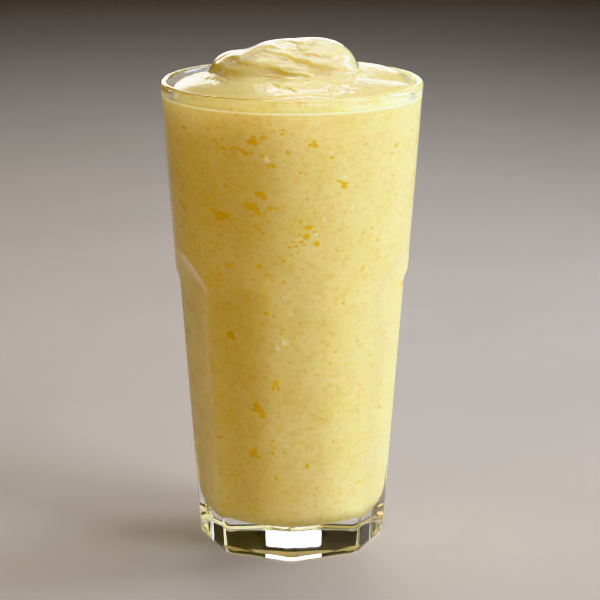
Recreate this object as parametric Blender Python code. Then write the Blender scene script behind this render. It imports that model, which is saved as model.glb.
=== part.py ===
# A pineapple shake in its tall glass, at real size in metres, with +Z up.
# The glass stands on Z = 0 with its axis on the Z axis. It is round above and eight-sided below, with an
# arch over each flat panel, and a corner between two panels faces the front, which is -Y.
# The shake fills the glass to just under the rim and stands over the rim in a soft, folded mound.
import math

import bmesh
import bpy
import numpy as np

MM = 0.001

# Glass: heights from the surface it stands on, radii from its axis
GLASS_HEIGHT = 160 * MM
RIM_RADIUS = 44.0 * MM
RIM_WALL = 2.5 * MM
SHOULDER_HEIGHT = 104.6 * MM
SHOULDER_RADIUS = 40.1 * MM
FLOOR_HEIGHT = 10.8 * MM
FLOOR_RADIUS = 25.1 * MM
FLOOR_CORNER = 6.0 * MM

# Eight flats pressed into the lower wall, measured at the rounded corners between them
PANELS = 8
FOOT_CORNER = 31.5 * MM
SHOULDER_CORNER = 39.1 * MM
FOOT_ROUNDING = 5.0 * MM
SHOULDER_ROUNDING = 9.0 * MM
ARCH_RISE = 9.6 * MM
RUN_OUT_CORNER = 4.0 * MM
RUN_OUT_PANEL = 10.5 * MM
RUN_OUT_SOFTNESS = 0.8

# Foot edge, sloped in two steps, and the shallow hollow under the base
FOOT_EDGE_IN = 1.7 * MM
FOOT_EDGE_UP = 2.2 * MM
FOOT_STEP_IN = 0.5 * MM
FOOT_STEP_UP = 0.9 * MM
HOLLOW_RADIUS = 24.5 * MM
HOLLOW_SLOPE = 2.5 * MM
HOLLOW_DEPTH = 0.9 * MM

# Shake: its level at the wall, and the broad dome that carries the mound
GAP = 0.3 * MM
FILL_HEIGHT = 155.8 * MM
DOME_RISE = 8.0 * MM
BLEND = 2.4 * MM

# Lobes of the mound: centre and half sizes along X, Y and Z in mm, and the dip of the left end in degrees
LOBES = {
    "crest_left": ((0.0, 2.0, 163.0), (20.0, 15.0, 10.2), 0),
    "right_bulb": ((8.6, 0.0, 163.6), (13.2, 14.0, 10.1), 0),
    "back_left": ((-18.0, 4.0, 162.7), (9.2, 11.0, 6.3), 0),
    "front_left": ((-11.5, -5.0, 163.7), (13.6, 10.2, 7.0), 16),
    "front_belly": ((1.0, -5.6, 162.6), (13.5, 10.6, 7.6), -8),
    "right_shelf": ((20.5, 8.5, 157.8), (18.0, 19.0, 6.2), 0),
}

# Folds: soft ledges across the front of the mound, which dip to the right
FOLD_DEPTH = 0.3 * MM
FOLD_PITCH = 4.2 * MM
FOLD_TOP = 171 * MM
FOLD_FADE = 3 * MM
FOLD_DIP = 0.16
FOLD_SWAY = 1.1 * MM
FOLD_SWAY_LENGTH = 11.0 * MM

# Centre from which the crown's surface is found, along rays that start outside it and close in by steps
CROWN_CENTRE = (-1.0 * MM, 1.0 * MM, 140 * MM)
RAY_START = 60 * MM
RAY_STEPS = 80
STEP_SHARE = 0.6

# Mesh fineness, and the levels between which the walls run straight
GLASS_STEPS = 96
SHAKE_STEPS = 80
CROWN_RINGS = 32
ARCH_LEVELS = 11
RIM_STEPS = 6
CORNER_STEPS = 4
OUTER_LEVELS = (30 * MM, 58 * MM, 84 * MM)
INNER_LEVELS = (60 * MM, 110 * MM)
SHARP_ANGLE = 35
MERGE_DISTANCE = 0.005 * MM


def clear_scene():
    for old in list(bpy.data.objects):
        bpy.data.objects.remove(old, do_unlink=True)


def clear_glass():
    material = bpy.data.materials.new("pressed_glass")
    material.use_nodes = True
    shader = material.node_tree.nodes["Principled BSDF"]
    shader.inputs["Base Color"].default_value = (0.96, 0.98, 0.97, 1)
    shader.inputs["Roughness"].default_value = 0.03
    shader.inputs["Metallic"].default_value = 0
    shader.inputs["Transmission Weight"].default_value = 0.95
    shader.inputs["IOR"].default_value = 1.52
    return material


def blended_fruit():
    material = bpy.data.materials.new("blended_pineapple")
    material.use_nodes = True
    shader = material.node_tree.nodes["Principled BSDF"]
    shader.inputs["Base Color"].default_value = (0.79, 0.63, 0.24, 1)
    shader.inputs["Roughness"].default_value = 0.22
    shader.inputs["Metallic"].default_value = 0
    return material


def arc(centre, radius, start, end, steps):
    """Points of a round corner in the profile's plane, from one angle to another, in degrees."""
    turns = (math.radians(start + (end - start) * i / steps) for i in range(steps + 1))
    return [(centre[0] + radius * math.cos(a), centre[1] + radius * math.sin(a)) for a in turns]


def outer_cone(height):
    """Radius of the wall's round outer cone, before the flats are pressed in."""
    slope = (RIM_RADIUS - SHOULDER_RADIUS) / (GLASS_HEIGHT - SHOULDER_HEIGHT)
    return SHOULDER_RADIUS + slope * (height - SHOULDER_HEIGHT)


def inner_cone(height):
    slope = (RIM_RADIUS - RIM_WALL - FLOOR_RADIUS) / (GLASS_HEIGHT - FLOOR_HEIGHT)
    return FLOOR_RADIUS + slope * (height - FLOOR_HEIGHT)


def panelled_radius(height, turn):
    """Radius of the eight-sided wall with rounded corners, at an angle from the middle of a panel."""
    share = height / SHOULDER_HEIGHT
    rounding = FOOT_ROUNDING + share * (SHOULDER_ROUNDING - FOOT_ROUNDING)
    corner = FOOT_CORNER + share * (SHOULDER_CORNER - FOOT_CORNER)
    half = math.pi / PANELS
    flat = (corner - rounding) * math.cos(half) + rounding
    if abs(turn) < math.atan((flat - rounding) * math.tan(half) / flat):
        return flat / math.cos(turn)
    off = half - abs(turn)
    centre = corner - rounding
    return centre * math.cos(off) + math.sqrt(rounding**2 - (centre * math.sin(off)) ** 2)


def pressed_depth(height, angle):
    """How far the press has pushed the round cone in at this height and angle."""
    step = 2 * math.pi / PANELS
    turn = angle % step - step / 2
    side = abs(turn) / (step / 2)
    arch_top = SHOULDER_HEIGHT - ARCH_RISE * side**2
    run_out = RUN_OUT_PANEL + (RUN_OUT_CORNER - RUN_OUT_PANEL) * side**2
    share = min(max((arch_top - height) / run_out, 0), 1) ** RUN_OUT_SOFTNESS
    fade = share * share * (3 - 2 * share)
    return (outer_cone(height) - panelled_radius(height, turn)) * fade


def turned(profile, steps, name):
    """A closed solid turned from a profile that starts and ends on the axis."""
    shape = bmesh.new()
    points = [shape.verts.new((radius, 0, height)) for radius, height in profile]
    edges = [shape.edges.new(pair) for pair in zip(points, points[1:])]
    bmesh.ops.spin(shape, geom=points + edges, axis=(0, 0, 1), angle=2 * math.pi, steps=steps)
    bmesh.ops.remove_doubles(shape, verts=shape.verts, dist=MERGE_DISTANCE)
    bmesh.ops.recalc_face_normals(shape, faces=shape.faces)
    mesh = bpy.data.meshes.new(name)
    shape.to_mesh(mesh)
    shape.free()
    mesh.shade_smooth()
    piece = bpy.data.objects.new(name, mesh)
    bpy.context.scene.collection.objects.link(piece)
    return piece


def glass_profile():
    """The tumbler's section: under the base, up the outer wall, over the rim and down inside."""
    foot = outer_cone(FOOT_EDGE_UP)
    profile = [(0, HOLLOW_DEPTH), (HOLLOW_RADIUS - HOLLOW_SLOPE, HOLLOW_DEPTH), (HOLLOW_RADIUS, 0)]
    profile += [(foot - FOOT_EDGE_IN, 0), (foot - FOOT_STEP_IN, FOOT_STEP_UP), (foot, FOOT_EDGE_UP)]
    profile += [(outer_cone(height), height) for height in OUTER_LEVELS]
    lowest = SHOULDER_HEIGHT - ARCH_RISE - RUN_OUT_CORNER
    for level in range(ARCH_LEVELS + 1):
        height = lowest + (SHOULDER_HEIGHT - lowest) * level / ARCH_LEVELS
        profile.append((outer_cone(height), height))
    bead = RIM_WALL / 2
    profile += arc((RIM_RADIUS - bead, GLASS_HEIGHT - bead), bead, 0, 180, RIM_STEPS)
    profile += [(inner_cone(height), height) for height in reversed(INNER_LEVELS)]
    corner = (inner_cone(FLOOR_HEIGHT + FLOOR_CORNER) - FLOOR_CORNER, FLOOR_HEIGHT + FLOOR_CORNER)
    profile += arc(corner, FLOOR_CORNER, 0, -90, CORNER_STEPS)
    return profile + [(0, FLOOR_HEIGHT)]


def make_glass():
    glass = turned(glass_profile(), GLASS_STEPS, "glass")
    for vertex in glass.data.vertices:
        x, y, height = vertex.co
        radius = math.hypot(x, y)
        if height < SHOULDER_HEIGHT and radius > 0.5 * (inner_cone(height) + outer_cone(height)):
            depth = pressed_depth(height, math.atan2(y, x))
            vertex.co.x -= depth * x / radius
            vertex.co.y -= depth * y / radius
    glass.data.set_sharp_from_angle(angle=math.radians(SHARP_ANGLE))
    glass.data.materials.append(clear_glass())
    return glass


def lobe_distance(points, centre, half_sizes, dip):
    """Distance from points to a lobe, an ellipsoid whose left end dips."""
    turn = math.radians(dip)
    local = points - np.array(centre) * MM
    x = local[:, 0] * math.cos(turn) + local[:, 2] * math.sin(turn)
    z = local[:, 2] * math.cos(turn) - local[:, 0] * math.sin(turn)
    local = np.stack([x, local[:, 1], z], axis=1)
    half = np.array(half_sizes) * MM
    reach = np.linalg.norm(local / half, axis=1)
    return reach * (reach - 1) / np.linalg.norm(local / half**2, axis=1)


def dome_distance(points):
    """Distance from points to the broad dome, which meets the wall at the shake's level."""
    edge = inner_cone(FILL_HEIGHT) - GAP
    half_sizes = (edge / MM, edge / MM, DOME_RISE / MM)
    return lobe_distance(points, (0, 0, FILL_HEIGHT / MM), half_sizes, 0)


def blended(first, second):
    """The nearer of two distances, with a soft crease where the two forms meet."""
    near = np.maximum(BLEND - np.abs(first - second), 0) / BLEND
    return np.minimum(first, second) - near * near * BLEND / 4


def fold(points):
    """How far the folds stand out of the mound's front. They fade out on the dome, the crest and the back."""
    sway = FOLD_SWAY * np.sin(points[:, 0] / FOLD_SWAY_LENGTH + points[:, 1] / (1.7 * FOLD_SWAY_LENGTH))
    height = points[:, 2] + FOLD_DIP * points[:, 0] + sway
    wave = np.sin(2 * math.pi * height / FOLD_PITCH)
    above = np.clip((points[:, 2] - FILL_HEIGHT - DOME_RISE) / FOLD_FADE, 0, 1)
    below = np.clip((FOLD_TOP - points[:, 2]) / FOLD_FADE, 0, 1)
    front = np.clip(-points[:, 1] / FOLD_FADE, 0, 1)
    return FOLD_DEPTH * wave * above * below * front


def crown_distance(points):
    distance = dome_distance(points)
    for centre, half_sizes, dip in LOBES.values():
        distance = blended(distance, lobe_distance(points, centre, half_sizes, dip))
    radius = np.hypot(points[:, 0], points[:, 1])
    return np.maximum(distance - fold(points), radius - inner_cone(points[:, 2]) + GAP)


def raised_to_crown(points):
    """Moves points along rays from the crown's centre until they lie on its surface."""
    centre = np.array(CROWN_CENTRE)
    rays = points - centre
    rays /= np.linalg.norm(rays, axis=1)[:, None]
    reach = np.full(len(points), RAY_START)
    for _ in range(RAY_STEPS):
        reach -= STEP_SHARE * crown_distance(centre + rays * reach[:, None])
    return centre + rays * reach[:, None]


def shake_profile():
    """The shake's section: its rounded foot, its wall and the rings that become the crown."""
    corner_height = FLOOR_HEIGHT + FLOOR_CORNER
    corner = (inner_cone(corner_height) - FLOOR_CORNER, corner_height)
    profile = [(0, FLOOR_HEIGHT + GAP)] + arc(corner, FLOOR_CORNER - GAP, -90, 0, CORNER_STEPS)
    profile += [(inner_cone(height) - GAP, height) for height in INNER_LEVELS]
    level = FILL_HEIGHT - CROWN_CENTRE[2]
    edge = inner_cone(FILL_HEIGHT) - GAP
    start = math.degrees(math.atan2(level, edge))
    profile += arc((0, CROWN_CENTRE[2]), math.hypot(level, edge), start, 90, CROWN_RINGS)[:-1]
    return profile + [(0, CROWN_CENTRE[2] + math.hypot(level, edge))]


def make_shake():
    shake = turned(shake_profile(), SHAKE_STEPS, "shake")
    places = np.empty(len(shake.data.vertices) * 3)
    shake.data.vertices.foreach_get("co", places)
    places = places.reshape(-1, 3)
    crown = places[:, 2] > FILL_HEIGHT + 0.01 * MM
    places[crown] = raised_to_crown(places[crown])
    shake.data.vertices.foreach_set("co", places.ravel())
    shake.data.update()
    shake.data.materials.append(blended_fruit())
    return shake


clear_scene()
make_glass()
make_shake()
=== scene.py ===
import math

import bpy
import numpy as np
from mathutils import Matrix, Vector, noise


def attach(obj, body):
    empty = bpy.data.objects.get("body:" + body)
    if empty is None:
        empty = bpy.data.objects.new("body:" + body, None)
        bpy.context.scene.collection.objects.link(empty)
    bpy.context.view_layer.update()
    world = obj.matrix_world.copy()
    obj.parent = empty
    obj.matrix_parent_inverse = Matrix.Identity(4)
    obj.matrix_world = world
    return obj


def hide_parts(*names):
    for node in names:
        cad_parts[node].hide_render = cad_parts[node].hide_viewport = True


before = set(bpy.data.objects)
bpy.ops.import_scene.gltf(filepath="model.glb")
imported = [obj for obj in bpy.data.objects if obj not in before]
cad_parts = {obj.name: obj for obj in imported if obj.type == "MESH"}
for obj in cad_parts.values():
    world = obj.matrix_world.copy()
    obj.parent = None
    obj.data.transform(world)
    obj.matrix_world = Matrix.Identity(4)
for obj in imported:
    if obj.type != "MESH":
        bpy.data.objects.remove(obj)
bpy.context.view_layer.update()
MM = 0.001


# Camera: a long lens 0.8 m in front of the glass and above its rim, looking down on it by 14 degrees
LENS_LENGTH = 148.7
LENS_SHIFT = 0.0137
CAMERA_PLACE = (0, -0.8210, 0.29181)
CAMERA_DIP = 0.24811

camera_data = bpy.data.cameras.new("camera")
camera_data.sensor_width = 36
camera_data.lens = LENS_LENGTH
camera_data.shift_x = LENS_SHIFT
camera_data.clip_end = 20
camera = bpy.data.objects.new("camera", camera_data)
camera.location = CAMERA_PLACE
camera.rotation_euler = (math.pi / 2 - CAMERA_DIP, 0, 0)
bpy.context.scene.collection.objects.link(camera)
bpy.context.scene.camera = camera


# Studio room: a pale floor that sweeps up into a round wall, so that it looks alike from every side.
# It is rolled board, painted matt, darker on the wall, which sets off the wet crown. Its paint darkens from the glass
# outward: a painted falloff of light, pale where the lamps would pool round the glass.
def turned(name, profile, steps):
    """A form turned about the Z axis, from a profile drawn point by point, with its doubles merged."""
    bpy.ops.object.select_all(action="DESELECT")
    bpy.ops.mesh.primitive_plane_add(size=MM, location=(0, 0, 0))
    piece = bpy.context.object
    piece.name = piece.data.name = name
    bpy.ops.object.mode_set(mode="EDIT")
    bpy.ops.mesh.select_all(action="SELECT")
    bpy.ops.mesh.merge(type="CENTER")
    bpy.ops.transform.translate(value=(profile[0][0], 0, profile[0][1]))
    for (radius, height), (next_radius, next_height) in zip(profile, profile[1:]):
        step = (next_radius - radius, 0, next_height - height)
        bpy.ops.mesh.extrude_region_move(TRANSFORM_OT_translate={"value": step})
    bpy.ops.mesh.select_all(action="SELECT")
    bpy.ops.mesh.spin(steps=steps, angle=2 * math.pi, center=(0, 0, 0), axis=(0, 0, 1))
    bpy.ops.mesh.select_all(action="SELECT")
    bpy.ops.mesh.remove_doubles(threshold=0.002 * MM)
    bpy.ops.mesh.normals_make_consistent(inside=False)
    bpy.ops.object.mode_set(mode="OBJECT")
    piece.data.shade_smooth()
    return piece


def arc(centre, radius, start, end, steps):
    """Points of a round corner in the profile's plane, from one angle to another, in degrees."""
    turns = (math.radians(start + (end - start) * i / steps) for i in range(steps + 1))
    return [(centre[0] + radius * math.cos(a), centre[1] + radius * math.sin(a)) for a in turns]


def linear(hex_colour):
    """An sRGB hex colour as linear values with full alpha."""
    parts = [int(hex_colour[i:i + 2], 16) / 255 for i in (1, 3, 5)]
    return tuple(p / 12.92 if p <= 0.04045 else ((p + 0.055) / 1.055) ** 2.4 for p in parts) + (1,)


def put(tree, kind, inputs=None, **settings):
    """Adds a node with its settings. An input's value is a number or colour, or the socket that feeds it.

    An input goes by its name, or by its number where a node has several of one name. A Mix node's colours are
    6 and 7. A Map Range node takes the range from 1 to 2, 0 and 1 unless given, to the range from 3 to 4.
    """
    node = tree.nodes.new("ShaderNode" + kind)
    for name, value in settings.items():
        setattr(node, name, value)
    for name, value in (inputs or {}).items():
        if isinstance(value, bpy.types.NodeSocket):
            tree.links.new(value, node.inputs[name])
        else:
            node.inputs[name].default_value = value
    return node


ROOM_RADIUS = 2.4
ROOM_BEND = 0.9
ROOM_WALL_TOP = 2.2
ROOM_STEPS = 96
room_profile = [(radius, 0) for radius in (0, 0.15, 0.3, 0.6, 0.9)]
room_profile += arc((ROOM_RADIUS - ROOM_BEND, ROOM_BEND), ROOM_BEND, -90, 0, 16)
room_profile += [(ROOM_RADIUS, ROOM_WALL_TOP)]
room = turned("studio_room", room_profile, ROOM_STEPS)

# Matt painted board: no gloss, with a faint roller mottle about 0.1 m across
FLOOR_PAINT = "#B2A696"
WALL_PAINT = "#463D34"
PAINTED_FALLOFF_FROM, PAINTED_FALLOFF_TO = 0.15, 1.3
MOTTLES_PER_METRE = 9
painted_board = bpy.data.materials.new("matt_painted_board")
painted_board.use_nodes = True
tree = painted_board.node_tree
shader = tree.nodes["Principled BSDF"]
place = put(tree, "TexCoord").outputs["Object"]
reach = put(tree, "VectorMath", {0: place}, operation="LENGTH").outputs["Value"]
# Painted falloff of light: the paint goes from pale near the glass to dark further out, as if the lamps lit only
# round the glass
outward = put(tree, "MapRange", {
    0: reach, 1: PAINTED_FALLOFF_FROM, 2: PAINTED_FALLOFF_TO}, interpolation_type="SMOOTHSTEP").outputs[0]
mottle = put(tree, "TexNoise", {"Vector": place, "Scale": MOTTLES_PER_METRE, "Detail": 4}).outputs["Fac"]
painted_falloff = put(tree, "Mix", {0: outward, 6: linear(FLOOR_PAINT), 7: linear(WALL_PAINT)}, data_type="RGBA").outputs[2]
tint = put(tree, "HueSaturation", {
    "Color": painted_falloff,
    "Value": put(tree, "MapRange", {0: mottle, 1: 0.3, 2: 0.7, 3: 0.97, 4: 1.03}).outputs[0],
}).outputs[0]
tree.links.new(tint, shader.inputs["Base Color"])
shader.inputs["Roughness"].default_value = 0.75
room.data.materials.append(painted_board)


# Lights: soft and plain, like windows. The key and the side strip stand at the right and light the drink's side,
# the overhead and the two back lights rim the wet crown and show in the thick base, and the left fill and strip
# keep the shaded side warm.
LIT_POINT = Vector((0, 0, 0.1))
SURROUNDINGS = "#FFE6C0"
SURROUNDINGS_STRENGTH = 0.12


def soft_light(name, azimuth, elevation, distance, size, power, colour):
    """An area light aimed at the glass. Azimuth is counted from the camera towards the right, in degrees."""
    data = bpy.data.lights.new(name, "AREA")
    data.shape = "RECTANGLE"
    data.size, data.size_y = size
    data.energy = power
    data.color = linear(colour)[:3]
    light = bpy.data.objects.new(name, data)
    turn, rise = math.radians(azimuth), math.radians(elevation)
    offset = Vector((math.sin(turn) * math.cos(rise), -math.cos(turn) * math.cos(rise), math.sin(rise)))
    light.location = LIT_POINT + offset * distance
    light.rotation_euler = offset.to_track_quat("Z", "Y").to_euler()
    bpy.context.scene.collection.objects.link(light)


soft_light("key", 64, 28, 1.3, (0.5, 0.8), 15.5, "#D4E2FF")
soft_light("side_strip", 112, 20, 1.3, (0.5, 0.9), 15, "#C2D2FF")
soft_light("overhead", 140, 74, 1.3, (0.9, 0.7), 9, "#FFFFFF")
soft_light("back_high", 177, 37, 1.3, (0.26, 0.12), 1.5, "#FFFFFF")
soft_light("back_window", 185, 14, 1.6, (0.98, 0.32), 4.9, "#FFFFFF")
soft_light("left_fill", -34, 20, 1.5, (0.8, 0.8), 5.4, "#FFDD9C")
soft_light("left_strip", -130, 14, 1.4, (0.05, 0.8), 0.4, "#FFFFFF")

world = bpy.data.worlds.new("soft_room_light")
world.use_nodes = True
world.node_tree.nodes["Background"].inputs["Color"].default_value = linear(SURROUNDINGS)
world.node_tree.nodes["Background"].inputs["Strength"].default_value = SURROUNDINGS_STRENGTH
bpy.context.scene.world = world
bpy.context.scene.view_settings.view_transform = "Khronos PBR Neutral"


# Tumbler: one piece of clear soda-lime glass, pressed in a mould and fire-polished.
# It is round above and eight-sided below, with an arch over each flat, and its base is thick and clear.
GLASS_HEIGHT = 160 * MM
RIM_RADIUS = 44.0 * MM
RIM_WALL = 2.5 * MM
SHOULDER_HEIGHT = 104.6 * MM
SHOULDER_RADIUS = 40.1 * MM
FLOOR_HEIGHT = 10.8 * MM
FLOOR_RADIUS = 25.1 * MM
FLOOR_CORNER = 6.0 * MM
PANELS = 8
FOOT_CORNER = 31.5 * MM
SHOULDER_CORNER = 39.1 * MM
FOOT_ROUNDING = 5.0 * MM
SHOULDER_ROUNDING = 9.0 * MM
ARCH_RISE = 9.6 * MM
RUN_OUT_CORNER = 4.0 * MM
RUN_OUT_PANEL = 10.5 * MM
RUN_OUT_SOFTNESS = 0.8
FOOT_EDGE_IN = 1.7 * MM
FOOT_EDGE_UP = 2.2 * MM
FOOT_STEP_IN = 0.5 * MM
FOOT_STEP_UP = 0.9 * MM
HOLLOW_RADIUS = 24.5 * MM
HOLLOW_SLOPE = 2.5 * MM
HOLLOW_DEPTH = 0.9 * MM
STEPS_PER_PANEL = 40


def outer_cone(height):
    """Radius of the round outer wall at a height, before the mould's flats."""
    slope = (RIM_RADIUS - SHOULDER_RADIUS) / (GLASS_HEIGHT - SHOULDER_HEIGHT)
    return SHOULDER_RADIUS + slope * (height - SHOULDER_HEIGHT)


def inner_cone(height):
    """Radius of the inner wall at a height."""
    slope = (RIM_RADIUS - RIM_WALL - FLOOR_RADIUS) / (GLASS_HEIGHT - FLOOR_HEIGHT)
    return FLOOR_RADIUS + slope * (height - FLOOR_HEIGHT)


def pressed_depth(height, angle):
    """How far the mould has pushed the round cone in at each height and angle."""
    half = math.pi / PANELS
    turn = np.abs(angle % (2 * half) - half)
    share = height / SHOULDER_HEIGHT
    rounding = FOOT_ROUNDING + share * (SHOULDER_ROUNDING - FOOT_ROUNDING)
    corner = FOOT_CORNER + share * (SHOULDER_CORNER - FOOT_CORNER) - rounding
    flat = corner * math.cos(half) + rounding
    off = half - turn
    round_part = corner * np.cos(off) + np.sqrt(np.maximum(rounding**2 - (corner * np.sin(off)) ** 2, 0))
    on_flat = turn < np.arctan((flat - rounding) * math.tan(half) / flat)
    radius = np.where(on_flat, flat / np.cos(turn), round_part)
    side = turn / half
    arch_top = SHOULDER_HEIGHT - ARCH_RISE * side**2
    run_out = RUN_OUT_PANEL + (RUN_OUT_CORNER - RUN_OUT_PANEL) * side**2
    fade = np.clip((arch_top - height) / run_out, 0, 1) ** RUN_OUT_SOFTNESS
    return (outer_cone(height) - radius) * fade * fade * (3 - 2 * fade)


def get_points(piece):
    """A piece's points as an array of one row each."""
    points = np.empty(len(piece.data.vertices) * 3)
    piece.data.vertices.foreach_get("co", points)
    return points.reshape(-1, 3)


def set_points(piece, points):
    """Puts an array of one row each back as a piece's points."""
    piece.data.vertices.foreach_set("co", points.ravel())
    piece.data.update()


# Every edge under the foot is softened by two points close to it
foot = outer_cone(FOOT_EDGE_UP)
shoulder_foot = SHOULDER_HEIGHT - ARCH_RISE - RUN_OUT_PANEL
glass_profile = [(0, HOLLOW_DEPTH), (HOLLOW_RADIUS - HOLLOW_SLOPE - 0.4 * MM, HOLLOW_DEPTH)]
glass_profile += [(HOLLOW_RADIUS - HOLLOW_SLOPE, HOLLOW_DEPTH * 0.96), (HOLLOW_RADIUS - 0.3 * MM, 0.08 * MM)]
glass_profile += [(HOLLOW_RADIUS, 0), (foot - FOOT_EDGE_IN - 0.2 * MM, 0)]
glass_profile += [(foot - FOOT_EDGE_IN + 0.1 * MM, 0.08 * MM)]
glass_profile += [(foot - FOOT_STEP_IN - 0.1 * MM, FOOT_STEP_UP - 0.08 * MM)]
glass_profile += [(foot - FOOT_STEP_IN + 0.07 * MM, FOOT_STEP_UP + 0.12 * MM)]
glass_profile += [(foot - 0.06 * MM, FOOT_EDGE_UP - 0.15 * MM), (foot + 0.01 * MM, FOOT_EDGE_UP + 0.15 * MM)]
glass_profile += [(outer_cone(h), h) for h in np.linspace(3 * MM, shoulder_foot, 24)]
glass_profile += [(outer_cone(h), h) for h in np.linspace(shoulder_foot, SHOULDER_HEIGHT + 0.5 * MM, 64)[1:]]
glass_profile += [(outer_cone(h), h) for h in (120 * MM, 140 * MM, 155 * MM)]
bead = RIM_WALL / 2
glass_profile += arc((RIM_RADIUS - bead, GLASS_HEIGHT - bead), bead, 0, 180, 14)
glass_profile += [(inner_cone(h), h) for h in (150 * MM, 120 * MM, 90 * MM, 60 * MM, 30 * MM)]
floor_corner_height = FLOOR_HEIGHT + FLOOR_CORNER
floor_corner = (inner_cone(floor_corner_height) - FLOOR_CORNER, floor_corner_height)
glass_profile += arc(floor_corner, FLOOR_CORNER, 0, -90, 10) + [(0, FLOOR_HEIGHT)]

tumbler = turned("tumbler", glass_profile, PANELS * STEPS_PER_PANEL)
points = get_points(tumbler)
radii = np.hypot(points[:, 0], points[:, 1])
heights = points[:, 2]
pressed = (heights < SHOULDER_HEIGHT) & (radii > 0.5 * (inner_cone(heights) + outer_cone(heights)))
depth = pressed_depth(heights[pressed], np.arctan2(points[pressed, 1], points[pressed, 0]))
points[pressed, :2] *= (1 - depth / radii[pressed])[:, None]
set_points(tumbler, points)

# Clear soda-lime glass, fire-polished: glossy and nearly colourless, with the faint slow ripple of a pressed wall,
# finer lines drawn up it by the mould, and a light film of handling. Shadow rays pass straight through it, so that
# the drink behind it is lit as by day.
RIPPLE_LENGTH = 14 * MM
FILM_LENGTH = 22 * MM
DRAG_WIDTH = 2.2 * MM
DRAG_STRETCH = 0.12
clear_glass = bpy.data.materials.new("clear_pressed_glass")
clear_glass.use_nodes = True
tree = clear_glass.node_tree
shader = tree.nodes["Principled BSDF"]
place = put(tree, "TexCoord").outputs["Object"]
ripple = put(tree, "TexNoise", {"Vector": place, "Scale": 1 / RIPPLE_LENGTH, "Detail": 1}).outputs["Fac"]
smear = put(tree, "TexNoise", {"Vector": place, "Scale": 1 / FILM_LENGTH, "Detail": 5}).outputs["Fac"]
wave = put(tree, "Bump", {"Height": ripple, "Strength": 0.25, "Distance": 0.3 * MM}).outputs[0]
film = put(tree, "MapRange", {0: smear, 1: 0.35, 2: 0.75, 3: 0.0, 4: 0.06}).outputs[0]
drawn_place = put(tree, "Mapping", {"Vector": place, "Scale": (1, 1, DRAG_STRETCH)}).outputs[0]
drag = put(tree, "TexNoise", {"Vector": drawn_place, "Scale": 1 / DRAG_WIDTH, "Detail": 2}).outputs["Fac"]
drag_lines = put(tree, "Bump", {"Height": drag, "Strength": 0.3, "Distance": 0.04 * MM, "Normal": wave}).outputs[0]
tree.links.new(drag_lines, shader.inputs["Normal"])
tree.links.new(film, shader.inputs["Roughness"])
shader.inputs["Base Color"].default_value = linear("#FCFEFD")
shader.inputs["IOR"].default_value = 1.52
shader.inputs["Transmission Weight"].default_value = 1
shadow = put(tree, "LightPath").outputs["Is Shadow Ray"]
let_through = put(tree, "BsdfTransparent", {0: linear("#F4F8F6")}).outputs[0]
either = put(tree, "MixShader", {0: shadow, 1: shader.outputs[0], 2: let_through}).outputs[0]
tree.links.new(either, tree.nodes["Material Output"].inputs["Surface"])
tumbler.data.materials.append(clear_glass)
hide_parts("glass")
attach(tumbler, "root")


# Shake: pineapple blended thick with milk and ice, poured to just under the rim.
# It holds its shape, so the last of it stands over the rim in a soft mound of folds, wet and glossy.
WALL_GRIP = 0.12 * MM
FILL_HEIGHT = 155.8 * MM
DOME_RISE = 8.0 * MM
BLEND = 2.4 * MM
LOBES = (  # centre, half sizes (mm), dip of the left end (degrees)
    ((0.0, 2.0, 163.0), (20.0, 15.0, 10.2), 0),
    ((8.6, 0.0, 163.6), (13.2, 14.0, 10.1), 0),
    ((-18.0, 4.0, 162.7), (9.2, 11.0, 6.3), 0),
    ((-11.5, -5.0, 163.7), (13.6, 10.2, 7.0), 16),
    ((1.0, -5.6, 162.6), (13.5, 10.6, 7.6), -8),
    ((20.5, 8.5, 157.8), (18.0, 19.0, 6.2), 0),
)
FOLD_DEPTH = 0.3 * MM
FOLD_PITCH = 4.2 * MM
FOLD_TOP = 171 * MM
FOLD_FADE = 3 * MM
FOLD_DIP = 0.16
FOLD_SWAY = 1.1 * MM
FOLD_SWAY_LENGTH = 11.0 * MM
CROWN_CENTRE = (-1.0 * MM, 1.0 * MM, 140 * MM)
CROWN_REACH = 60 * MM
CROWN_SEARCH_STEPS = 70
CROWN_SEARCH_SHARE = 0.6
CROWN_RINGS = 185
SHAKE_STEPS = 480


def lobe_distance(points, centre, half_sizes, dip):
    """Distance from points to a lobe, an ellipsoid whose left end dips."""
    turn = math.radians(dip)
    local = points - np.array(centre) * MM
    x = local[:, 0] * math.cos(turn) + local[:, 2] * math.sin(turn)
    z = local[:, 2] * math.cos(turn) - local[:, 0] * math.sin(turn)
    local = np.stack([x, local[:, 1], z], axis=1)
    half = np.array(half_sizes) * MM
    reach = np.linalg.norm(local / half, axis=1)
    return reach * (reach - 1) / np.linalg.norm(local / half**2, axis=1)


def fold(points):
    """How far the broad folds stand out of the mound's front."""
    sway = FOLD_SWAY * np.sin(points[:, 0] / FOLD_SWAY_LENGTH + points[:, 1] / (1.7 * FOLD_SWAY_LENGTH))
    wave = np.sin(2 * math.pi * (points[:, 2] + FOLD_DIP * points[:, 0] + sway) / FOLD_PITCH)
    above = np.clip((points[:, 2] - FILL_HEIGHT - DOME_RISE) / FOLD_FADE, 0, 1)
    below = np.clip((FOLD_TOP - points[:, 2]) / FOLD_FADE, 0, 1)
    front = np.clip(-points[:, 1] / FOLD_FADE, 0, 1)
    return FOLD_DEPTH * wave * above * below * front


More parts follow.
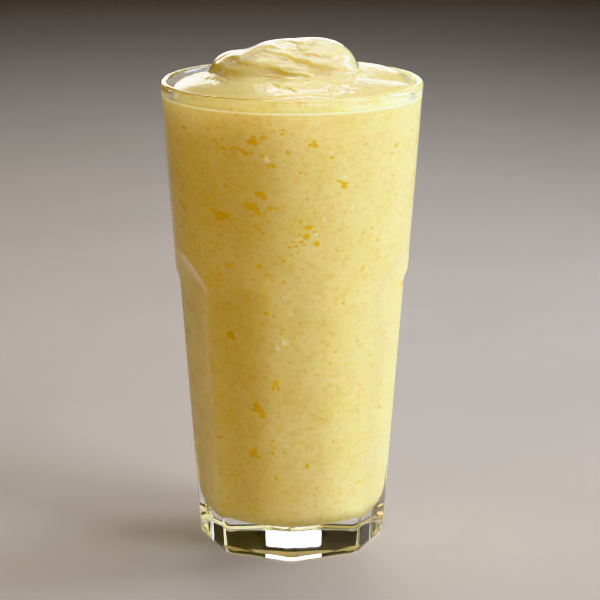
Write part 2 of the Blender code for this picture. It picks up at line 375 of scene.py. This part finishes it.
def crown_distance(points):
    """Distance to the crown: the dome and lobes run together with soft creases between them."""
    dome = (inner_cone(FILL_HEIGHT) + WALL_GRIP) / MM
    distance = lobe_distance(points, (0, 0, FILL_HEIGHT / MM), (dome, dome, DOME_RISE / MM), 0)
    for centre, half_sizes, dip in LOBES:
        lobe = lobe_distance(points, centre, half_sizes, dip)
        near = np.maximum(BLEND - np.abs(distance - lobe), 0) / BLEND
        distance = np.minimum(distance, lobe) - near * near * BLEND / 4
    radius = np.hypot(points[:, 0], points[:, 1])
    return np.maximum(distance - fold(points), radius - inner_cone(points[:, 2]) - WALL_GRIP)


def raised_to_crown(points):
    """Moves points along rays from the crown's centre until they lie on its surface."""
    centre = np.array(CROWN_CENTRE)
    rays = points - centre
    rays /= np.linalg.norm(rays, axis=1)[:, None]
    reach = np.full(len(points), CROWN_REACH)
    for _ in range(CROWN_SEARCH_STEPS):
        reach -= CROWN_SEARCH_SHARE * crown_distance(centre + rays * reach[:, None])
    return centre + rays * reach[:, None]


# Ribbons of the mound as the front shows them: points across and above the rim (mm), height and half width (mm)
RIBBONS = (
    (((-27.1, 2.4), (-24.7, 4.3), (-22.7, 6.0), (-20.1, 7.4), (-17.1, 7.5), (-15.1, 8.5)), 0.55, 0.8),
    (((-15.1, 8.5), (-12.7, 9.9), (-10.0, 10.9), (-7.4, 11.1), (-5.4, 10.6), (-3.3, 9.7)), 0.5, 0.8),
    (((-8.4, 9.6), (-5.7, 8.8), (-2.3, 8.3), (-0.3, 7.5), (1.7, 6.4), (3.7, 6.4), (5.7, 5.9), (7.0, 4.9),
      (9.4, 4.5)), 0.55, 0.7),
    (((-1.3, 9.9), (1.3, 9.4), (3.7, 10.0), (6.4, 10.0)), 0.35, 0.6),
    (((2.7, 8.2), (4.7, 8.3), (6.7, 8.5), (8.4, 8.0), (10.0, 7.2)), 0.4, 0.6),
    (((-0.7, 12.9), (1.7, 12.3), (3.7, 12.1), (6.0, 12.7)), 0.3, 0.6),
    (((6.7, 11.6), (9.4, 11.3), (12.0, 11.4), (14.7, 11.8)), 0.3, 0.9),
    (((-6.4, 3.6), (-4.3, 3.6), (-3.0, 2.6), (-1.0, 1.9), (1.3, 1.6), (3.7, 1.5), (6.4, 0.8)), 0.55, 0.7),
    (((-10.7, 0.9), (-6.7, 0.8), (-2.7, 0.2), (0.7, 0.1), (3.7, 0.7), (6.7, 0.9)), 0.4, 0.6),
    (((-8.7, -1.8), (-6.7, -1.5), (-5.0, -2.2), (-3.3, -2.9), (-0.3, -2.8), (2.7, -3.2), (5.4, -3.2), (7.4, -2.7),
      (9.4, -1.8), (12.0, -1.2), (15.1, -1.8), (17.7, -1.4)), 0.4, 0.45),
    (((2.7, -2.0), (5.4, -1.5), (7.4, -0.9), (9.4, -0.7), (11.7, -1.2)), 0.3, 0.4),
    (((-1.0, -3.0), (0.3, -3.7), (1.7, -4.7)), 0.3, 0.4),
    (((11.4, -3.3), (12.7, -4.2), (15.1, -4.2)), 0.35, 0.5),
    (((-7.4, -6.4), (-4.0, -6.1), (-0.7, -5.8), (2.7, -5.6), (5.7, -5.2), (8.0, -4.3)), 0.3, 0.35),
    (((5.7, -5.3), (9.4, -5.8), (12.0, -5.9), (14.0, -6.6)), 0.3, 0.35),
    (((19.4, 2.7), (21.1, 3.0), (23.4, 3.1)), 0.3, 0.5),
    (((22.7, 4.6), (25.4, 3.9), (28.8, 3.5)), 0.3, 0.5),
    (((-29.8, 0.7), (-26.8, 0.7), (-24.4, 0.0), (-22.1, -0.5)), 0.4, 0.6),
)
VIEW_SLOPE = 0.173


def ribbon_relief(points, strand, height, half_width):
    """A ribbon's height over the surface: gentle above its line, steep below it, and run out at both ends."""
    across = points[:, 0] / MM
    upward = (points[:, 2] - GLASS_HEIGHT + VIEW_SLOPE * points[:, 1]) / MM
    strand = np.array(strand)
    lengths = np.concatenate([[0], np.cumsum(np.linalg.norm(np.diff(strand, axis=0), axis=1))])
    best = np.full(len(points), 1e9)
    along = np.zeros(len(points))
    side = np.zeros(len(points))
    for (x0, w0), (x1, w1), start in zip(strand, strand[1:], lengths):
        run = math.hypot(x1 - x0, w1 - w0)
        ex, ew = (x1 - x0) / run, (w1 - w0) / run
        t = np.clip((across - x0) * ex + (upward - w0) * ew, 0, run)
        dx, dw = across - x0 - t * ex, upward - w0 - t * ew
        distance = np.hypot(dx, dw)
        nearer = distance < best
        best = np.where(nearer, distance, best)
        along = np.where(nearer, start + t, along)
        side = np.where(nearer, np.sign(dw), side)
    end_fade = np.clip(np.minimum(along, lengths[-1] - along) / (0.22 * lengths[-1]), 0, 1)
    width = np.where(side > 0, 0.95 * half_width, 0.6 * half_width)
    ridge = np.exp(-((best / width) ** 2))
    crease = 0.45 * np.exp(-(((best - 1.4 * half_width) / (0.8 * half_width)) ** 2)) * (side < 0)
    return height * (ridge - crease) * (0.25 + 0.75 * end_fade)


# Wrinkled parts of the crown, as the front shows them: centre across and above the rim, half sizes (mm), height (mm)
WRINKLED = (
    ((0.5, 7.0), (11.0, 4.5), 0.16), ((6.0, -2.6), (13.0, 2.0), 0.3), ((-19.0, 5.5), (7.0, 2.6), 0.16),
    ((-28.0, 1.0), (9.0, 2.6), 0.2), ((24.0, 3.0), (8.0, 2.2), 0.2), ((14.0, 9.0), (6.0, 3.0), 0.06),
)
WRINKLE_LENGTH = 4.2
WRINKLE_DEPTH = 2.6
WRINKLE_RISE = 1.3
WRINKLE_DIP = 0.18
WRINKLE_SHARPNESS = 2.5
LEAST_WRINKLE = 0.005


def wrinkles(points):
    """Fine sharp wrinkles of the wet skin, which run across the crown and dip to the right."""
    x, y, z = (points / MM).T
    upward = z - GLASS_HEIGHT / MM + VIEW_SLOPE * y
    height = np.zeros(len(points))
    for (cx, cw), (half_across, half_up), peak in WRINKLED:
        height += peak * np.exp(-((x - cx) / half_across) ** 2 - ((upward - cw) / half_up) ** 2)
    places = np.stack([x / WRINKLE_LENGTH, y / WRINKLE_DEPTH, (z + WRINKLE_DIP * x) / WRINKLE_RISE], axis=1)
    shown = height > LEAST_WRINKLE
    crease = np.zeros(len(points))
    crease[shown] = [abs(noise.noise(place)) + 0.5 * abs(noise.noise(2.1 * Vector(place))) for place in places[shown]]
    return height * (1 - WRINKLE_SHARPNESS * crease)


# Ribbons and wrinkles run out behind the mound and close to the wall
RELIEF_BACK = 12 * MM
RELIEF_FADE = 8 * MM
RELIEF_WALL_FADE = 3 * MM

level = FILL_HEIGHT - CROWN_CENTRE[2]
edge = inner_cone(FILL_HEIGHT) + WALL_GRIP
shake_profile = [(0, FLOOR_HEIGHT - WALL_GRIP)] + arc(floor_corner, FLOOR_CORNER + WALL_GRIP, -90, 0, 8)
shake_profile += [(inner_cone(h) + WALL_GRIP, h) for h in np.linspace(20 * MM, FILL_HEIGHT, 7)[:-1]]
start_angle = math.degrees(math.atan2(level, edge))
shake_profile += arc((0, CROWN_CENTRE[2]), math.hypot(level, edge), start_angle, 90, CROWN_RINGS)[:-1]
shake_profile += [(0, CROWN_CENTRE[2] + math.hypot(level, edge))]

shake = turned("pineapple_shake", shake_profile, SHAKE_STEPS)
points = get_points(shake)
crown = points[:, 2] > FILL_HEIGHT + 0.01 * MM
points[crown] = raised_to_crown(points[crown])
set_points(shake, points)
normals = np.empty(len(points) * 3)
shake.data.vertices.foreach_get("normal", normals)
normals = normals.reshape(-1, 3)
relief = np.zeros(len(points))
for strand, ribbon_height, half_width in RIBBONS:
    relief += ribbon_relief(points, strand, ribbon_height, half_width)
relief[crown] += wrinkles(points[crown])
front = np.clip((-points[:, 1] + RELIEF_BACK) / RELIEF_FADE, 0, 1)
off_wall = np.clip((edge - np.hypot(points[:, 0], points[:, 1])) / RELIEF_WALL_FADE, 0, 1)
points += normals * (relief * front * off_wall * crown * MM)[:, None]
set_points(shake, points)

# Thick blended fruit and milk: opaque and softly lit from within, cloudy with foam and golden pulp.
# It is wet and glossy where it meets the air, and has no gloss of its own where it lies against the glass.
# The top of the mound is paled by height, partly for the air's froth and partly as painted light where the lamps fall
# on the upper mound, and a thin painted highlight follows the level along the wall.
CLOUD_LENGTH = 11 * MM
PULP_LENGTH = 2.3 * MM
PULP_SQUASH = 1.4
FROTH_LENGTH = 0.55 * MM
SPECK_SPACING = 7 * MM
PALE_TOP_FROM = FILL_HEIGHT + 5 * MM
PALE_TOP_TO = FILL_HEIGHT + 13 * MM
HIGHLIGHT_LINE_HEIGHT = FILL_HEIGHT - 0.45 * MM
SKIN_LENGTH = 2.4 * MM
SKIN_SQUASH = (1, 1.3, 3)
blended = bpy.data.materials.new("blended_pineapple_and_milk")
blended.use_nodes = True
tree = blended.node_tree
shader = tree.nodes["Principled BSDF"]
place = put(tree, "TexCoord").outputs["Object"]
height = put(tree, "SeparateXYZ", {0: place}).outputs["Z"]
in_air = put(tree, "MapRange", {0: height, 1: FILL_HEIGHT - 0.1 * MM, 2: FILL_HEIGHT + 0.3 * MM}).outputs[0]
cloud = put(tree, "TexNoise", {
    "Vector": place, "Scale": 1 / CLOUD_LENGTH, "Detail": 3, "Roughness": 0.6}).outputs["Fac"]
flat_place = put(tree, "Mapping", {"Vector": place, "Scale": (1, 1, PULP_SQUASH)}).outputs[0]
pulp = put(tree, "TexNoise", {
    "Vector": flat_place, "Scale": 1 / PULP_LENGTH, "Detail": 3, "Roughness": 0.55, "Distortion": 0.3}).outputs["Fac"]
foam = put(tree, "TexNoise", {"Vector": place, "Scale": 1 / FROTH_LENGTH, "Detail": 2}).outputs["Fac"]
body = put(tree, "Mix", {
    0: put(tree, "MapRange", {0: cloud, 1: 0.35, 2: 0.65}).outputs[0],
    6: linear("#EAD787"), 7: linear("#EEDD98")}, data_type="RGBA").outputs[2]
with_pulp = put(tree, "Mix", {
    0: put(tree, "MapRange", {0: pulp, 1: 0.48, 2: 0.8, 4: 0.55}).outputs[0],
    6: body, 7: linear("#DDB548")}, data_type="RGBA").outputs[2]
with_foam = put(tree, "Mix", {
    0: put(tree, "MapRange", {0: foam, 1: 0.58, 2: 0.8, 4: 0.5}).outputs[0],
    6: with_pulp, 7: linear("#F3E6B4")}, data_type="RGBA").outputs[2]
# Paler towards the top of the mound: partly froth, partly painted light from above
froth_and_painted_light_top = put(tree, "Mix", {
    0: put(tree, "MapRange", {0: height, 1: PALE_TOP_FROM, 2: PALE_TOP_TO, 3: 0.0, 4: 0.75}).outputs[0],
    6: with_foam, 7: linear("#F2E5B2")}, data_type="RGBA").outputs[2]
to_speck = put(tree, "TexVoronoi", {"Vector": place, "Scale": 1 / SPECK_SPACING}).outputs["Distance"]
with_specks = put(tree, "Mix", {
    0: put(tree, "MapRange", {0: to_speck, 1: 0.04, 2: 0.12, 3: 0.6, 4: 0}).outputs[0],
    6: froth_and_painted_light_top, 7: linear("#E4B230")}, data_type="RGBA").outputs[2]
# Painted highlight: a thin near-white line just under the level, where the drink meets the glass
from_line = put(tree, "Math", {0: height, 1: HIGHLIGHT_LINE_HEIGHT}, operation="SUBTRACT").outputs[0]
off_line = put(tree, "Math", {0: from_line}, operation="ABSOLUTE").outputs[0]
with_painted_highlight_line = put(tree, "Mix", {
    0: put(tree, "MapRange", {0: off_line, 1: 0.15 * MM, 2: 0.5 * MM, 3: 0.8, 4: 0}).outputs[0],
    6: with_specks, 7: linear("#FFF9E4")}, data_type="RGBA").outputs[2]
tree.links.new(with_painted_highlight_line, shader.inputs["Base Color"])
tree.links.new(put(tree, "MapRange", {0: in_air, 3: 0.6, 4: 0.3}).outputs[0], shader.inputs["Roughness"])
tree.links.new(in_air, shader.inputs["Coat Weight"])
grain = put(tree, "Bump", {"Height": pulp, "Strength": 0.25, "Distance": 0.1 * MM}).outputs[0]
tree.links.new(grain, shader.inputs["Normal"])
skin_place = put(tree, "Mapping", {"Vector": place, "Scale": SKIN_SQUASH}).outputs[0]
skin = put(tree, "TexNoise", {"Vector": skin_place, "Scale": 1 / SKIN_LENGTH, "Detail": 2}).outputs["Fac"]
wet_skin = put(tree, "Bump", {"Height": skin, "Strength": 0.5, "Distance": 0.15 * MM, "Normal": grain}).outputs[0]
tree.links.new(wet_skin, shader.inputs["Coat Normal"])
shader.inputs["Specular IOR Level"].default_value = 0.2
shader.inputs["Coat IOR"].default_value = 1.4
shader.inputs["Coat Roughness"].default_value = 0.05
shader.inputs["Subsurface Weight"].default_value = 1
shader.inputs["Subsurface Radius"].default_value = (1.0, 0.7, 0.2)
light_reach = put(tree, "MapRange", {0: in_air, 3: 12 * MM, 4: 9 * MM}).outputs[0]
tree.links.new(light_reach, shader.inputs["Subsurface Scale"])
shake.data.materials.append(blended)
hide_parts("shake")
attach(shake, "root")


# Pulp: golden flecks and threads of pineapple that the blender has left, lying in the drink against the wall.
# Each is a very flat blob, sunk by a part of its height and in the drink's own colours at its edge, so it melts
# into the drink round it.
FLATNESS = 0.03
SUNK_SHARE = 0.3
SCATTERED_GROUPS = 150
SCATTERED_FLECKS = 420
PULP_FLECKS = (  # degrees to the right of the front, height, half width, half height (mm), tilt (degrees), strength
    (-40.7, 149.4, 0.62, 1.00, 0, 0.9), (-37.1, 145.7, 1.18, 0.40, 30, 0.8), (-35.6, 144.5, 1.18, 0.50, 40, 0.8),
    (-32.5, 143.1, 1.66, 0.74, 15, 0.9), (-27.2, 143.7, 1.43, 0.50, 10, 0.9), (-23.7, 143.3, 1.38, 0.50, 10, 0.9),
    (-21.4, 142.2, 1.70, 0.83, 20, 0.95), (-18.5, 142.2, 0.97, 0.83, 0, 0.6), (-17.3, 146.2, 1.98, 1.32, 10, 1),
    (-17.7, 147.5, 1.32, 0.99, 0, 0.7), (-13.1, 147.4, 1.61, 0.99, -20, 0.6), (-56.7, 147.7, 1.72, 0.68, 0, 0.8),
    (-44.2, 125.2, 1.09, 0.62, 0, 1), (-15.3, 128.7, 1.96, 1.17, 0, 1), (-13.9, 127.7, 1.58, 0.67, 0, 0.9),
    (-19.0, 124.5, 2.67, 1.69, 15, 1), (-21.5, 125.0, 1.36, 1.01, 0, 0.9), (-16.6, 122.6, 1.64, 1.01, 30, 0.9),
    (-8.1, 149.8, 0.95, 0.66, 20, 0.6), (-3.6, 150.3, 0.78, 0.39, 0, 0.8), (-4.1, 148.9, 0.92, 0.43, -10, 0.8),
    (-12.9, 141.7, 0.64, 1.33, 20, 0.6), (-11.6, 139.8, 0.64, 1.00, -30, 0.7), (-10.2, 138.5, 0.93, 0.83, 40, 0.8),
    (-8.3, 138.2, 0.95, 1.00, 20, 0.8), (-1.9, 142.8, 0.78, 1.32, -10, 0.7), (4.0, 136.1, 0.63, 0.53, 0, 0.7),
    (8.2, 145.3, 0.79, 0.66, 0, 0.9), (10.2, 146.1, 0.80, 1.32, -30, 0.8), (10.9, 145.1, 1.44, 0.83, 10, 0.9),
    (18.5, 140.9, 0.73, 0.60, 0, 0.9), (13.3, 134.6, 0.52, 0.33, 0, 0.6), (22.7, 132.8, 1.03, 0.44, 20, 1),
    (24.8, 131.9, 1.40, 0.67, 25, 1), (25.4, 130.9, 1.23, 1.01, 0, 1), (26.9, 131.8, 0.52, 0.67, 0, 0.8),
    (-44.1, 123.3, 0.52, 1.03, -10, 0.9), (-42.1, 121.7, 1.30, 0.51, 20, 1), (-39.6, 121.0, 1.67, 0.86, 30, 1),
    (-35.4, 120.7, 2.66, 1.37, 0, 1), (-36.8, 119.3, 2.32, 1.03, -5, 1), (-31.5, 119.2, 1.12, 0.51, 0, 0.8),
    (-28.8, 119.7, 0.91, 0.41, 30, 0.9), (-44.9, 116.5, 1.82, 0.52, -10, 0.6), (-38.2, 122.5, 1.18, 0.51, 0, 0.6),
    (-17.8, 117.8, 0.83, 0.41, 40, 0.8), (-16.1, 116.7, 0.98, 0.68, 35, 0.9), (-13.9, 115.9, 0.79, 0.44, 15, 0.7),
    (-10.1, 124.1, 1.24, 1.01, 20, 0.8), (-7.3, 124.2, 0.95, 0.50, 0, 0.9), (-13.1, 122.4, 0.81, 0.51, 0, 0.8),
    (-10.8, 119.4, 0.64, 0.41, 0, 0.8), (-39.9, 110.0, 0.64, 0.86, -15, 0.9), (-33.5, 103.7, 1.47, 0.69, 0, 0.9),
    (-40.9, 102.2, 1.02, 1.39, -30, 0.6), (-39.6, 100.6, 1.21, 0.64, 30, 0.7), (-16.5, 104.4, 0.95, 0.96, 0, 0.95),
    (-12.2, 101.7, 1.07, 0.41, 0, 0.95), (-47.9, 95.6, 1.09, 0.43, 0, 0.6), (4.7, 119.8, 0.79, 0.67, 0, 0.9),
    (7.5, 120.8, 0.79, 0.34, 0, 0.7), (8.1, 117.9, 1.43, 1.18, 0, 0.95), (11.1, 116.2, 0.71, 0.61, 0, 0.9),
    (3.7, 115.5, 0.63, 0.68, 0, 0.8), (7.2, 114.7, 1.43, 1.36, 0, 0.85), (4.8, 112.9, 0.79, 0.68, 0, 0.95),
    (6.3, 111.9, 0.95, 0.51, 0, 0.7), (12.5, 112.1, 1.13, 1.19, -35, 0.95), (13.6, 114.9, 0.32, 0.51, 0, 0.7),
    (-1.1, 111.1, 0.79, 0.51, 0, 1), (1.8, 111.4, 0.91, 0.44, 0, 0.9), (0.3, 112.9, 1.10, 0.34, 0, 0.7),
    (2.8, 109.0, 0.57, 0.51, 0, 0.6), (-3.9, 106.3, 0.85, 0.48, 0, 0.8), (38.9, 102.4, 0.71, 1.04, 0, 0.6),
    (29.5, 90.4, 0.94, 0.42, 0, 0.8), (-2.3, 93.9, 0.67, 1.11, 0, 0.9), (-15.1, 93.7, 0.53, 0.37, 0, 0.7),
    (-13.9, 87.6, 0.94, 0.77, 40, 0.9), (-0.6, 88.0, 0.36, 0.45, 0, 0.8), (-39.3, 81.7, 0.63, 0.64, 0, 0.9),
    (-37.2, 79.0, 1.63, 1.59, 40, 1), (-35.3, 77.8, 1.20, 0.88, 40, 0.9), (-40.9, 74.2, 1.28, 0.64, 0, 0.6),
    (-7.4, 75.9, 0.62, 0.63, 0, 1), (-7.3, 79.4, 0.69, 0.42, 0, 0.6), (-4.2, 78.1, 0.92, 1.12, 35, 1),
    (-30.2, 68.8, 0.96, 0.43, 0, 0.7), (-29.2, 65.9, 1.33, 0.36, 0, 0.7), (-19.1, 67.1, 1.07, 0.43, 0, 0.6),
    (1.2, 77.2, 1.12, 0.24, 0, 0.6), (-8.3, 63.4, 1.22, 1.24, 30, 1), (-10.3, 62.0, 0.70, 1.24, 0, 0.9),
    (-7.0, 61.8, 0.63, 0.89, 0, 0.9), (-21.7, 54.5, 1.63, 1.79, 0, 1), (-18.7, 53.1, 1.97, 1.61, 30, 1),
    (-18.1, 51.5, 1.43, 0.72, 0, 1), (-24.9, 53.4, 0.93, 0.54, 0, 1), (-14.1, 57.2, 0.70, 0.43, 0, 0.6),
    (-7.2, 53.1, 0.87, 0.43, 0, 0.8), (-3.0, 53.4, 0.47, 0.71, 0, 0.85), (17.5, 50.3, 1.07, 0.57, -30, 0.6),
    (-50.5, 41.3, 1.02, 0.53, 5, 0.8), (27.9, 41.7, 0.83, 0.65, 0, 0.6), (-10.9, 42.9, 0.88, 0.43, 0, 0.9),
    (-12.4, 41.6, 0.35, 1.08, 0, 0.7), (-10.3, 40.4, 0.88, 0.36, 0, 0.95), (-11.8, 38.5, 0.99, 1.01, 0, 0.9),
    (-9.0, 37.0, 0.71, 0.36, 0, 0.8), (-25.7, 37.9, 1.50, 1.64, 35, 1), (-22.9, 36.5, 1.10, 0.73, 20, 1),
    (-3.4, 39.2, 0.30, 1.08, -35, 0.85), (9.0, 33.8, 0.71, 1.27, -10, 0.95), (10.8, 35.9, 0.35, 1.09, -10, 0.6),
    (10.6, 32.1, 0.53, 0.36, 0, 0.6), (-9.2, 29.6, 0.71, 1.46, -25, 0.8), (15.5, 22.9, 0.65, 1.47, 0, 0.6),
    (55.7, 142.3, 1.71, 1.02, 0, 0.8), (53.2, 139.6, 1.07, 0.68, 0, 0.7), (43.2, 115.6, 1.07, 0.69, 0, 0.7),
    (40.8, 76.7, 1.06, 0.71, 0, 0.6), (14.9, 66.1, 0.88, 0.53, 0, 0.6),
)


def blob_form(name, roundness):
    """One blob of unit size, modelled once: a ball pressed flat on its inner side."""
    bpy.ops.object.select_all(action="DESELECT")
    bpy.ops.mesh.primitive_ico_sphere_add(subdivisions=roundness, radius=1, location=(0, 0, 0))
    form = bpy.context.object
    form.name = form.data.name = name
    bpy.ops.object.mode_set(mode="EDIT")
    bpy.ops.mesh.select_all(action="SELECT")
    bpy.ops.transform.vertex_random(offset=0.06, seed=5)
    bpy.ops.mesh.vertices_smooth(factor=0.5)
    bpy.ops.object.mode_set(mode="OBJECT")
    points = get_points(form)
    faces = np.array([face.vertices[:] for face in form.data.polygons])
    bpy.data.objects.remove(form, do_unlink=True)
    points[:, 2] = np.maximum(points[:, 2], 0)
    return points, faces


def scattered(name, placed_forms, seed):
    """One mesh of copies of forms. Each place is a point, its three axes, half sizes, tilt and strength."""
    rng = np.random.default_rng(seed)
    all_points, all_faces, all_strengths = [], [], []
    points_so_far = 0
    for (unit_points, unit_faces), (at, right, up, outward, half_width, half_height, tilt, strength) in placed_forms:
        angle = np.arctan2(unit_points[:, 1], unit_points[:, 0])
        ragged = 1 + sum(rng.normal(0, 0.16 / k**0.6) * np.cos(k * angle + rng.uniform(0, 6.3)) for k in (1, 2, 3, 4))
        x, y = unit_points[:, 0] * ragged * half_width, unit_points[:, 1] * ragged * half_height
        turn = -math.radians(tilt)
        x, y = x * math.cos(turn) - y * math.sin(turn), x * math.sin(turn) + y * math.cos(turn)
        z = (unit_points[:, 2] - SUNK_SHARE) * FLATNESS * half_height - x**2 / (2 * np.hypot(at[0], at[1]))
        all_faces.append(unit_faces + points_so_far)
        points_so_far += len(unit_points)
        all_points.append(at + x[:, None] * right + y[:, None] * up + z[:, None] * outward)
        all_strengths.append(np.clip(unit_points[:, 2], 0, 1) * strength)
    mesh = bpy.data.meshes.new(name)
    mesh.from_pydata(np.concatenate(all_points).tolist(), [], np.concatenate(all_faces).tolist())
    thickness = mesh.attributes.new("thickness", "FLOAT", "POINT")
    thickness.data.foreach_set("value", np.concatenate(all_strengths))
    mesh.shade_smooth()
    piece = bpy.data.objects.new(name, mesh)
    bpy.context.scene.collection.objects.link(piece)
    return piece


def wall_place(degrees, height, *rest):
    """A place on the drink's wall, with its axes to the right, up the wall and out."""
    turn = math.radians(degrees)
    outward = np.array([math.sin(turn), -math.cos(turn), 0])
    lean = math.atan(inner_cone(1) - inner_cone(0))
    up = outward * math.sin(lean) + np.array([0, 0, math.cos(lean)])
    at = outward * (inner_cone(height * MM) + WALL_GRIP) + np.array([0, 0, height * MM])
    right = np.array([math.cos(turn), math.sin(turn), 0])
    out = outward * math.cos(lean) - np.array([0, 0, math.sin(lean)])
    return (at, right, up, out) + rest


# The flecks of the front as they lie there, then groups round the back, then fine ones all round
rng = np.random.default_rng(11)
fleck_places = [wall_place(d, h, w * MM, t * MM, tilt, s) for d, h, w, t, tilt, s in PULP_FLECKS]
for _ in range(SCATTERED_GROUPS):
    degrees, size = rng.uniform(62, 298), 0.45 + rng.exponential(0.4)
    at_height = rng.uniform(20, 152)
    for _ in range(rng.integers(1, 4)):
        fleck_places.append(wall_place(
            degrees + rng.normal(0, 1.6), at_height + rng.normal(0, 0.8), size * rng.uniform(0.7, 1.4) * MM,
            size * rng.uniform(0.4, 0.9) * MM, rng.uniform(-30, 40), rng.uniform(0.6, 1)))
for _ in range(SCATTERED_FLECKS):
    size = rng.uniform(0.18, 0.5)
    fleck_places.append(wall_place(
        rng.uniform(0, 360), rng.uniform(16, 153), size * rng.uniform(1, 2) * MM, size * MM, rng.uniform(-30, 30),
        rng.uniform(0.3, 0.8)))
fine_form, plain_form = blob_form("fine_fleck", 3), blob_form("plain_fleck", 2)
fleck_forms = [fine_form] * len(PULP_FLECKS) + [plain_form] * (len(fleck_places) - len(PULP_FLECKS))
pulp_flecks = scattered("pulp_flecks", list(zip(fleck_forms, fleck_places)), 3)

# Pineapple pulp: ripe golden flesh, torn ragged by the blade. It is amber where it is thick and has the drink's
# own colours at its thin edge. It lays no shade on the drink right under it.
RAGGED_LENGTH = 0.9 * MM
pineapple_pulp = blended.copy()
pineapple_pulp.name = "golden_pineapple_pulp"
tree = pineapple_pulp.node_tree
shader = tree.nodes["Principled BSDF"]
body_colour = shader.inputs["Base Color"].links[0].from_socket
thickness = put(tree, "Attribute", attribute_name="thickness").outputs["Fac"]
place = put(tree, "TexCoord").outputs["Object"]
ragged = put(tree, "TexNoise", {"Vector": place, "Scale": 1 / RAGGED_LENGTH, "Detail": 3}).outputs["Fac"]
uneven = put(tree, "Math", {0: ragged, 1: 0.9, 2: thickness}, operation="MULTIPLY_ADD").outputs[0]
amber = put(tree, "MapRange", {0: uneven, 1: 0.62, 2: 1.2}, interpolation_type="SMOOTHSTEP").outputs[0]
golden = put(tree, "Mix", {0: amber, 6: body_colour, 7: linear("#E4B824")}, data_type="RGBA").outputs[2]
tree.links.new(golden, shader.inputs["Base Color"])
shader.inputs["Subsurface Weight"].default_value = 0
pulp_flecks.data.materials.append(pineapple_pulp)
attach(pulp_flecks, "root")
pulp_flecks.visible_shadow = pulp_flecks.visible_diffuse = False


# Foam bubbles: air beaten into the drink, which shows against the wall as pale dots.
# Each is a flat pale blob that takes the drink's colours at its edge.
SCATTERED_BUBBLES = 700
LARGE_BUBBLES = (  # degrees to the right of the front, height, half width (mm)
    (-0.6, 88.0, 0.76), (-4.2, 78.1, 1.53), (-7.4, 75.9, 1.25), (-2.3, 93.9, 1.28), (-33.1, 79.3, 1.02),
    (-33.9, 113.7, 1.00), (-2.7, 41.2, 0.95), (-3.4, 53.4, 0.90), (12.1, 115.3, 0.97), (-11.5, 140.1, 1.44),
    (25.1, 133.9, 1.05), (18.2, 142.5, 0.80), (30.3, 123.5, 1.11), (15.9, 120.2, 0.98), (24.8, 138.6, 0.87),
    (4.1, 58.4, 0.79), (28.3, 51.4, 0.76),
)
bubble_places = [wall_place(d, h, r * MM, r * MM, 0, 1) for d, h, r in LARGE_BUBBLES]
for _ in range(SCATTERED_BUBBLES):
    size = 0.12 + rng.exponential(0.13)
    bubble_places.append(wall_place(
        rng.uniform(0, 360), rng.uniform(16, 154.5), size * rng.uniform(1, 1.6) * MM, size * MM, 0,
        rng.uniform(0.3, 0.9)))
bubble_form = blob_form("bubble_form", 2)
foam_bubbles = scattered("foam_bubbles", [(bubble_form, place) for place in bubble_places], 4)

# Milk foam: a pale, fine froth, in the drink's own colours at its edge
milk_foam = blended.copy()
milk_foam.name = "pale_milk_foam"
tree = milk_foam.node_tree
shader = tree.nodes["Principled BSDF"]
body_colour = shader.inputs["Base Color"].links[0].from_socket
thickness = put(tree, "Attribute", attribute_name="thickness").outputs["Fac"]
frothy = put(tree, "MapRange", {0: thickness, 1: 0.3, 2: 1.1}, interpolation_type="SMOOTHSTEP").outputs[0]
pale = put(tree, "Mix", {0: frothy, 6: body_colour, 7: linear("#F6ECC4")}, data_type="RGBA").outputs[2]
tree.links.new(pale, shader.inputs["Base Color"])
shader.inputs["Subsurface Weight"].default_value = 0
foam_bubbles.data.materials.append(milk_foam)
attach(foam_bubbles, "root")
foam_bubbles.visible_shadow = foam_bubbles.visible_diffuse = False
